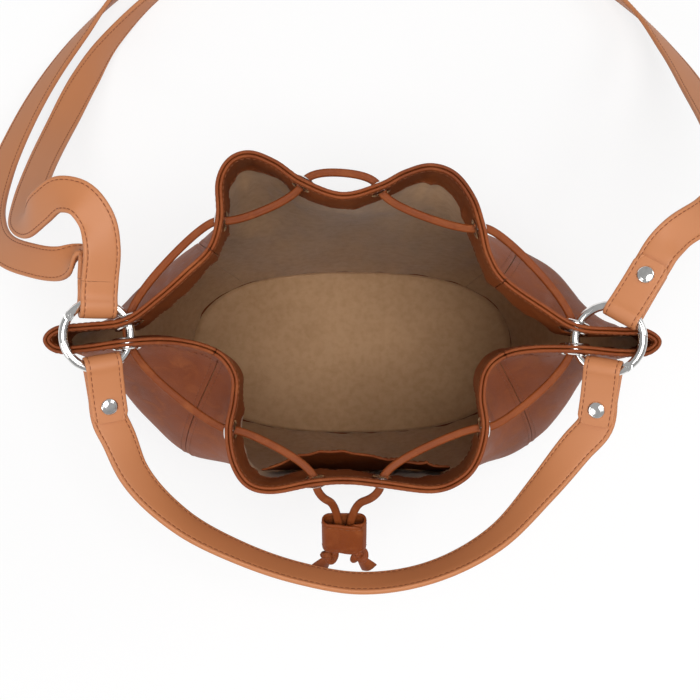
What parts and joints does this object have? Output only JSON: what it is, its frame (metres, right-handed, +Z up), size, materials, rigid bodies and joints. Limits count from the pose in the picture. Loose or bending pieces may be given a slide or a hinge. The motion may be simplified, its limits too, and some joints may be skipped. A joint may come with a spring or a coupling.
{
  "type": "bucket bag",
  "caption": "Soft leather drawstring bucket bag with fabric lining, gate rings at both ends, a short handle and a long adjustable shoulder strap.",
  "frame": {"origin": "on the floor, under the middle of the bag's base", "axes": "+Z up, +X to the bag's right end seen from the front, -Y to the front, where the drawstring comes out"},
  "size_m": [0.4911, 0.4584, 0.257],
  "materials": {
    "leather": "soft matt",
    "strap_leather": "soft matt",
    "cord_leather": "soft matt",
    "lining": "woven matt",
    "steel": "polished nickel",
    "board": "matt fibreboard"
  },
  "bodies": {
    "bag": {"front_panel": "leather", "back_panel": "leather", "left_gusset": "leather", "right_gusset": "leather", "base_panel": "leather", "rim_facing_front": "leather", "rim_facing_back": "leather", "rim_facing_left": "leather", "rim_facing_right": "leather", "slip_pocket": "leather", "drawstring": "cord_leather", "drawstring_knots": "cord_leather", "lining_front": "lining", "lining_back": "lining", "lining_left": "lining", "lining_right": "lining", "lining_floor": "lining", "ring_left": "steel", "ring_right": "steel", "gate_pins": "steel", "drawstring_eyelets": "steel", "ring_eyelets": "steel", "base_board": "board"},
    "handle": {"handle_strap": "strap_leather", "handle_rivets": "steel", "handle_tab_left": "strap_leather", "handle_tab_right": "strap_leather"},
    "shoulder_strap": {"shoulder_strap": "strap_leather", "strap_return": "strap_leather", "strap_bight": "strap_leather", "strap_tab_right": "strap_leather", "strap_rivet": "steel", "strap_buckle": "steel"},
    "gate_left": {"gate_left": "steel"},
    "gate_right": {"gate_right": "steel"},
    "sleeve": {"toggle_sleeve": "cord_leather"}
  },
  "joints": [
    {"name": "handle_swing", "type": "hinge", "parent": "bag", "child": "handle", "pos_m": [-0.13834, -0.01005, 0.23789], "axis": [-1, 0.0072, 0], "range_deg": [0, 105], "deforming": ["handle_tab_left", "handle_tab_right"]},
    {"name": "strap_swing", "type": "hinge", "parent": "bag", "child": "shoulder_strap", "pos_m": [0, 0.0215, 0.2395], "axis": [1, 0, 0], "range_deg": [0, 70], "deforming": ["strap_tab_right", "strap_bight"]},
    {"name": "gate_left_open", "type": "hinge", "parent": "bag", "child": "gate_left", "pos_m": [-0.15515, 0.01684, 0.24502], "axis": [0.3907, 0, 0.9205], "range_deg": [0, 14], "stiffness_Nm_per_rad": 0.05, "springref_deg": -11.46},
    {"name": "gate_right_open", "type": "hinge", "parent": "bag", "child": "gate_right", "pos_m": [0.15055, -0.01084, 0.24307], "axis": [-0.3907, 0, 0.9205], "range_deg": [0, 14], "stiffness_Nm_per_rad": 0.05, "springref_deg": -11.46},
    {"name": "sleeve_slide", "type": "slide", "parent": "bag", "child": "sleeve", "axis": [0, 0.766, 0.6428], "range_m": [0, 0.006]}
  ]
}
